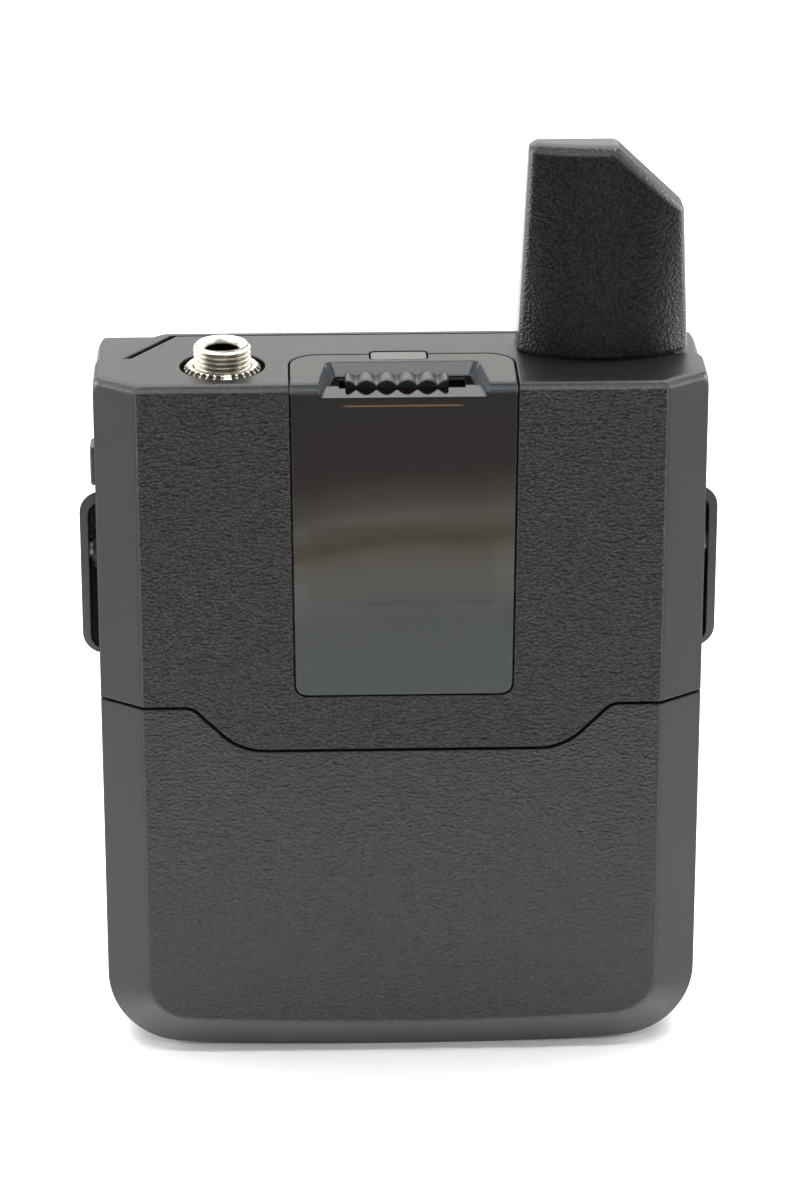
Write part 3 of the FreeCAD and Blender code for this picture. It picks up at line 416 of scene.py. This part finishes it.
def finishes():
    gold = brightSteel("goldPlate", (0.86, 0.62, 0.26), 0.20)
    steel = brightSteel("screwSteel", (0.34, 0.34, 0.35), 0.30)
    dark = satinPlastic("innerPlastic", {"tone": (0.016, 0.016, 0.018), "wornTone": (0.03, 0.03, 0.03),
                                         "roughness": 0.45})
    board = circuitBoard("solderMask")
    button = satinPlastic("buttonPlastic", satinLook)
    return {
        "shell_plastic": grainedPlastic("shellPlastic", shellLook),
        "pack_plastic": grainedPlastic("packPlastic", packLook),
        "antenna_plastic": grainedPlastic("antennaPlastic", antennaLook),
        "window_acrylic": smokedWindowPaintedReflection("smokedAcrylicPaintedReflection", windowLook),
        "lens_plastic": lightPipe("lightPipePlastic"),
        "button_plastic": button,
        "inner_plastic": dark,
        "nickel": platedNickel("platedNickel", nickelLook),
        "steel": steel,
        "dark_steel": powderCoat("powderCoatedSteel", coatLook),
        "gold": gold,
        "brass_core": brightSteel("brassCore", (0.72, 0.52, 0.24), 0.28),
        "board": board,
        "chip": satinPlastic("chipEpoxy", {"tone": (0.012, 0.012, 0.012), "wornTone": (0.03, 0.03, 0.03),
                                           "roughness": 0.5}),
        "shield": brightSteel("tinnedSheet", (0.66, 0.66, 0.64), 0.32),
        "display": displayGlass("displayGlass"),
        "backlight": satinPlastic("lightGuide", {"tone": (0.5, 0.5, 0.47), "wornTone": (0.6, 0.6, 0.58),
                                                 "roughness": 0.3}),
        "rubber": softRubber("sealRubber", (0.008, 0.008, 0.008)),
        "foam": softRubber("cellFoam", (0.03, 0.03, 0.032)),
        "cell_wrap": cellSleeve("cellSleeve"),
        "spring_wire": brightSteel("springSteel", (0.5, 0.5, 0.5), 0.25),
    }


def dressNodes(looks):
    slots = {part["node"]: part["material_slot"] for part in frame["record"]["subparts"]}
    for name, node in frame["nodes"].items():
        node.data.materials.clear()
        node.data.materials.append(looks[slots[name]])
    print("materials on", len(slots), "nodes")


def meshPiece(name, points, faces, look, body):
    mesh = bpy.data.meshes.new(name)
    mesh.from_pydata([tuple(p) for p in points], [], faces)
    mesh.validate()
    work = bmesh.new()
    work.from_mesh(mesh)
    bmesh.ops.remove_doubles(work, verts=work.verts, dist=1e-7)
    bmesh.ops.recalc_face_normals(work, faces=work.faces)
    work.to_mesh(mesh)
    work.free()
    piece = bpy.data.objects.new(name, mesh)
    bpy.context.scene.collection.objects.link(piece)
    mesh.materials.append(look)
    mesh.shade_smooth()
    mesh.set_sharp_from_angle(angle=math.radians(38))
    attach(piece, body)
    return piece


# The faces of a closed turned shape: each ring joins the next, and the last joins the first.
def ringFaces(rings, around):
    faces = []
    for i in range(rings):
        nextRing = (i + 1) % rings
        for j in range(around):
            k = (j + 1) % around
            faces.append((i * around + j, i * around + k, nextRing * around + k, nextRing * around + j))
    return faces


# One ring about an upright axis, with a radius and a height for each angle.
def turnedRing(centre, around, radiusAt, zAt):
    points = []
    for j in range(around):
        angle = math.tau * j / around
        radius = radiusAt(angle)
        x = centre.x + radius * math.cos(angle)
        y = centre.y + radius * math.sin(angle)
        points.append(Vector((x, y, zAt(angle))))
    return points


collarSet = {
    "around": 96, "pitch": 0.5 * mm, "threadDepth": 0.30 * mm, "stepsPerPitch": 12, "leadIn": 0.28 * mm,
    "shankStep": 0.5 * mm, "seatBelow": 5.9 * mm, "threadBelowNut": 0.6 * mm, "rootFade": 0.3 * mm,
    "tipDrop": 0.10 * mm, "faceInset": 0.34 * mm, "mouth": 0.72 * mm, "mouthDeep": 0.50 * mm,
    "round": 0.10 * mm, "mouthEdge": (0.08 * mm, 0.04 * mm), "boreLead": 0.12 * mm, "seatRise": 0.01 * mm,
}


def threadedCollar(looks):
    low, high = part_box("jack_bushing")
    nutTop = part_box("jack_nut")[1].z
    centre = (low + high) / 2
    outer = (high.x - low.x) / 2
    mounts = {mount["name"]: mount for mount in frame["record"]["mounts"]}
    bore = mounts["jack_bore"]["dims"]["r_mm"] * mm
    seatZ = high.z - collarSet["seatBelow"]
    around = collarSet["around"]
    threadLow = nutTop - collarSet["threadBelowNut"]
    threadHigh = high.z - collarSet["tipDrop"]
    steps = int((threadHigh - threadLow) / collarSet["pitch"] * collarSet["stepsPerPitch"])

    def threadRadius(angle, z):
        phase = (z / collarSet["pitch"] + angle / math.tau) % 1.0
        crest = 1 - abs(2 * phase - 1)
        shaped = min(1.0, max(0.0, crest * 1.35 - 0.1))
        fade = min(1.0, (high.z - z) / collarSet["leadIn"])
        rootFade = min(1.0, max(0.0, (z - threadLow) / collarSet["rootFade"]))
        radius = outer - collarSet["threadDepth"] * (1 - shaped * fade) * rootFade
        return radius - collarSet["round"] * (1 - fade)

    def plainRing(radius, z):
        return turnedRing(centre, around, lambda angle: radius, lambda angle: z)

    shank = outer - collarSet["shankStep"]
    points = plainRing(shank, low.z) + plainRing(shank, seatZ)
    points += plainRing(outer, seatZ + collarSet["seatRise"])
    for i in range(steps + 1):
        z = threadLow + (threadHigh - threadLow) * i / steps
        points += turnedRing(centre, around, lambda angle: threadRadius(angle, z), lambda angle: z)
    # the flat face, the countersunk mouth and the bore
    mouth = bore + collarSet["mouth"]
    deep = high.z - collarSet["mouthDeep"]
    edgeOut, edgeDown = collarSet["mouthEdge"]
    points += plainRing(outer - collarSet["faceInset"], high.z) + plainRing(mouth + edgeOut, high.z)
    points += plainRing(mouth, high.z - edgeDown) + plainRing(bore + collarSet["round"], deep)
    points += plainRing(bore, deep - collarSet["boreLead"]) + plainRing(bore, low.z)
    rings = len(points) // around
    faces = ringFaces(rings, around)
    piece = meshPiece("threaded_collar", points, faces, looks["nickel"], "transmitter")
    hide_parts("jack_bushing")
    print("threaded collar:", rings, "rings")


nutSet = {
    "teeth": 30, "perTooth": 8, "toothDepth": 0.60 * mm, "lugAngle": -1.42, "lugHalfAngle": 0.12,
    "wall": 1.0 * mm, "flankTop": 0.42 * mm, "crown": 0.12 * mm, "rootDrop": 0.30 * mm, "lugDrop": 0.15 * mm,
    "bevelInset": 0.42 * mm, "bevelDrop": 0.02 * mm, "lugBevel": 0.13 * mm,
    "lip": 0.22 * mm, "lipDrop": 0.16 * mm,
}


def knurledNut(looks):
    low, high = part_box("jack_nut")
    centre = (low + high) / 2
    outer = (high.x - low.x) / 2
    inner = outer - nutSet["wall"]
    depth = nutSet["toothDepth"]
    around = nutSet["teeth"] * nutSet["perTooth"]

    def lug(angle):
        # one broad lug near the front takes the spanner
        away = abs((angle - nutSet["lugAngle"] + math.pi) % math.tau - math.pi)
        return 1.0 if away < nutSet["lugHalfAngle"] else 0.0

    def tooth(angle):
        phase = (angle / math.tau * nutSet["teeth"]) % 1.0
        return max(lug(angle), min(1.0, max(0.0, 1.6 * (1 - abs(2 * phase - 1)) - 0.2)))

    def flank(angle):
        return outer - depth * (1 - tooth(angle))

    def shoulder(angle):
        return outer - depth * 0.5 - 0.5 * depth * (1 - tooth(angle))

    def crown(angle):
        drop = nutSet["crown"] + nutSet["rootDrop"] * (1 - tooth(angle)) + nutSet["lugDrop"] * lug(angle)
        return high.z - drop

    def ring(radiusAt, zAt):
        return turnedRing(centre, around, radiusAt, zAt)

    points = ring(flank, lambda a: low.z)
    points += ring(flank, lambda a: high.z - nutSet["flankTop"])
    points += ring(shoulder, crown)
    points += ring(lambda a: outer - nutSet["bevelInset"],
                   lambda a: high.z - nutSet["bevelDrop"] - nutSet["lugBevel"] * lug(a))
    points += ring(lambda a: inner + nutSet["lip"], lambda a: high.z)
    points += ring(lambda a: inner, lambda a: high.z - nutSet["lipDrop"])
    points += ring(lambda a: inner, lambda a: low.z)
    rings = len(points) // around
    faces = ringFaces(rings, around)
    piece = meshPiece("knurled_nut", points, faces, looks["nickel"], "transmitter")
    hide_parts("jack_nut")
    print("knurled nut:", nutSet["teeth"], "teeth")


sliderSet = {
    "pitch": 2.12 * mm, "depth": 0.62 * mm, "columns": 120, "rows": 10, "corner": 0.22 * mm,
    "cornerDrop": 0.18 * mm, "half": 5.35 * mm, "front": -5.85 * mm, "rear": -3.15 * mm,
    "thumbHeight": 2.2 * mm, "overlap": 0.3 * mm,
}


def ribbedSlider(looks):
    low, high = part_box("mute_slider")
    middle = (low.x + high.x) / 2
    columns = sliderSet["columns"]
    rows = sliderSet["rows"]
    half = sliderSet["half"]
    front = sliderSet["front"]
    rear = sliderSet["rear"]
    corner = sliderSet["corner"]
    # the thumb piece stands over the plate that slides under the tray
    thumbLow = high.z - sliderSet["thumbHeight"]
    points = []
    for i in range(columns + 1):
        x = middle - half + 2 * half * i / columns
        away = (x - middle) / sliderSet["pitch"]
        dip = 1 - math.sqrt(math.sin(math.pi * away) ** 2 + 0.02) / 1.01
        endDrop = max(0.0, corner - (half - abs(x - middle)))
        top = high.z - sliderSet["depth"] * dip - endDrop
        for j in range(rows + 1):
            y = front + (rear - front) * j / rows
            nearFront = max(0.0, 1 - (y - front) / corner)
            nearRear = max(0.0, 1 - (rear - y) / corner)
            points.append(Vector((x, y, top - sliderSet["cornerDrop"] * (nearFront + nearRear))))
        points.append(Vector((x, rear, thumbLow)))
        points.append(Vector((x, front, thumbLow)))
    stride = rows + 3
    faces = []
    for i in range(columns):
        for j in range(stride):
            a = i * stride + j
            b = i * stride + (j + 1) % stride
            faces.append((a, a + stride, b + stride, b))
    faces.append(tuple(range(stride)))
    faces.append(tuple(reversed(range(columns * stride, columns * stride + stride))))
    finish = looks["button_plastic"]
    piece = meshPiece("ribbed_thumb", points, faces, finish, "mute_slide")
    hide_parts("mute_slider")
    platePoints = [(x, y, z) for z in (low.z, thumbLow + sliderSet["overlap"]) for x, y in
                   ((low.x, low.y), (high.x, low.y), (high.x, high.y), (low.x, high.y))]
    plateFaces = [(0, 3, 2, 1), (4, 5, 6, 7), (0, 1, 5, 4), (1, 2, 6, 5), (2, 3, 7, 6), (3, 0, 4, 7)]
    meshPiece("slider_plate", platePoints, plateFaces, finish, "mute_slide")
    print("ribbed slider:", columns, "columns across the ribs")


stageSet = {
    "eye": (-13.454 * mm, -442.01 * mm, 229.78 * mm), "aim": (-0.235 * mm, -9.0 * mm, 53.86 * mm),
    "lens": 133.85,
    "sensor": 36.0, "nearClip": 0.01, "floorHalf": 3.0, "floorTone": 0.86, "worldStrength": 0.20,
}


# place, aim and size are in metres and power is in watts; the pools and the fill are narrow beams
lightSet = {
    "overheadSoftbox": {"place": (0.0, 0.30, 0.62), "aim": (0, 0.12, 0), "size": (0.9, 0.5), "power": 6.3},
    "backSoftbox": {"place": (0.0, 0.85, 0.45), "aim": (0, 0, 0.08), "size": (1.8, 0.7), "power": 7.2,
                    "tint": (1.0, 0.985, 0.945)},
    "leftSoftbox": {"place": (-0.50, 0.09, 0.15), "aim": (0, 0, 0.05), "size": (0.5, 0.26), "power": 3.3},
    "rightSoftbox": {"place": (0.50, 0.09, 0.15), "aim": (0, 0, 0.05), "size": (0.5, 0.26), "power": 2.9},
    "leftPool": {"place": (-0.13, 0.03, 0.22), "aim": (-0.11, 0.03, 0), "size": (0.03, 0.16), "power": 0.08,
                 "spread": math.radians(50)},
    "rightPool": {"place": (0.13, 0.03, 0.22), "aim": (0.11, 0.03, 0), "size": (0.03, 0.16), "power": 0.07,
                  "spread": math.radians(50)},
    "frontPool": {"place": (0.0, -0.075, 0.18), "aim": (0, -0.060, 0), "size": (0.14, 0.02), "power": 0.050,
                  "spread": math.radians(50)},
    "edgeLight": {"place": (0.0, -0.50, 0.50), "aim": (0, 0, 0.07), "size": (0.60, 0.10), "power": 1.3},
    "lowFill": {"place": (0.0, -0.065, 0.007), "aim": (0, -0.009, 0.006), "size": (0.16, 0.010),
                "power": 0.010, "spread": math.radians(120)},
}


def placeCamera():
    data = bpy.data.cameras.new("camera")
    data.lens = stageSet["lens"]
    data.sensor_width = stageSet["sensor"]
    data.clip_start = stageSet["nearClip"]
    camera = bpy.data.objects.new("camera", data)
    bpy.context.scene.collection.objects.link(camera)
    camera.location = stageSet["eye"]
    aim = Vector(stageSet["aim"]) - Vector(stageSet["eye"])
    camera.rotation_euler = aim.to_track_quat("-Z", "Y").to_euler()
    bpy.context.scene.camera = camera
    print("camera placed")


def softLight(name, place, aim, size, power, spread=math.pi, tint=(1.0, 1.0, 1.0)):
    data = bpy.data.lights.new(name, "AREA")
    data.shape = "RECTANGLE"
    data.size = size[0]
    data.size_y = size[1]
    data.energy = power
    data.spread = spread
    data.color = tint
    lamp = bpy.data.objects.new(name, data)
    bpy.context.scene.collection.objects.link(lamp)
    lamp.location = place
    lamp.rotation_euler = (Vector(aim) - Vector(place)).to_track_quat("-Z", "Y").to_euler()


def layFloor():
    half = stageSet["floorHalf"]
    mesh = bpy.data.meshes.new("floor")
    corners = [(-half, -half, 0), (half, -half, 0), (half, half, 0), (-half, half, 0)]
    mesh.from_pydata(corners, [], [(0, 1, 2, 3)])
    floor = bpy.data.objects.new("floor", mesh)
    bpy.context.scene.collection.objects.link(floor)
    f = Finish("floorPaper", Specular_IOR_Level=0.1)
    fibre = f.noise(400.0, 3.0, 0.6)
    tone = stageSet["floorTone"]
    shade = f.blendedColour(fibre, (tone, tone, tone), (tone * 0.98, tone * 0.98, tone * 0.98))
    mesh.materials.append(f.set(Base_Color=shade, Roughness=0.8 + fibre * 0.1))
    print("floor laid")


def lightStage():
    scene = bpy.context.scene
    scene.view_settings.view_transform = "Standard"
    world = bpy.data.worlds.new("studio")
    scene.world = world
    world.use_nodes = True
    background = world.node_tree.nodes["Background"]
    background.inputs["Color"].default_value = (1.0, 1.0, 1.0, 1.0)
    background.inputs["Strength"].default_value = stageSet["worldStrength"]
    for name, lamp in lightSet.items():
        softLight(name, **lamp)
    print("lights placed")


def main():
    placeCamera()
    layFloor()
    lightStage()
    looks = finishes()
    dressNodes(looks)
    threadedCollar(looks)
    knurledNut(looks)
    ribbedSlider(looks)


main()
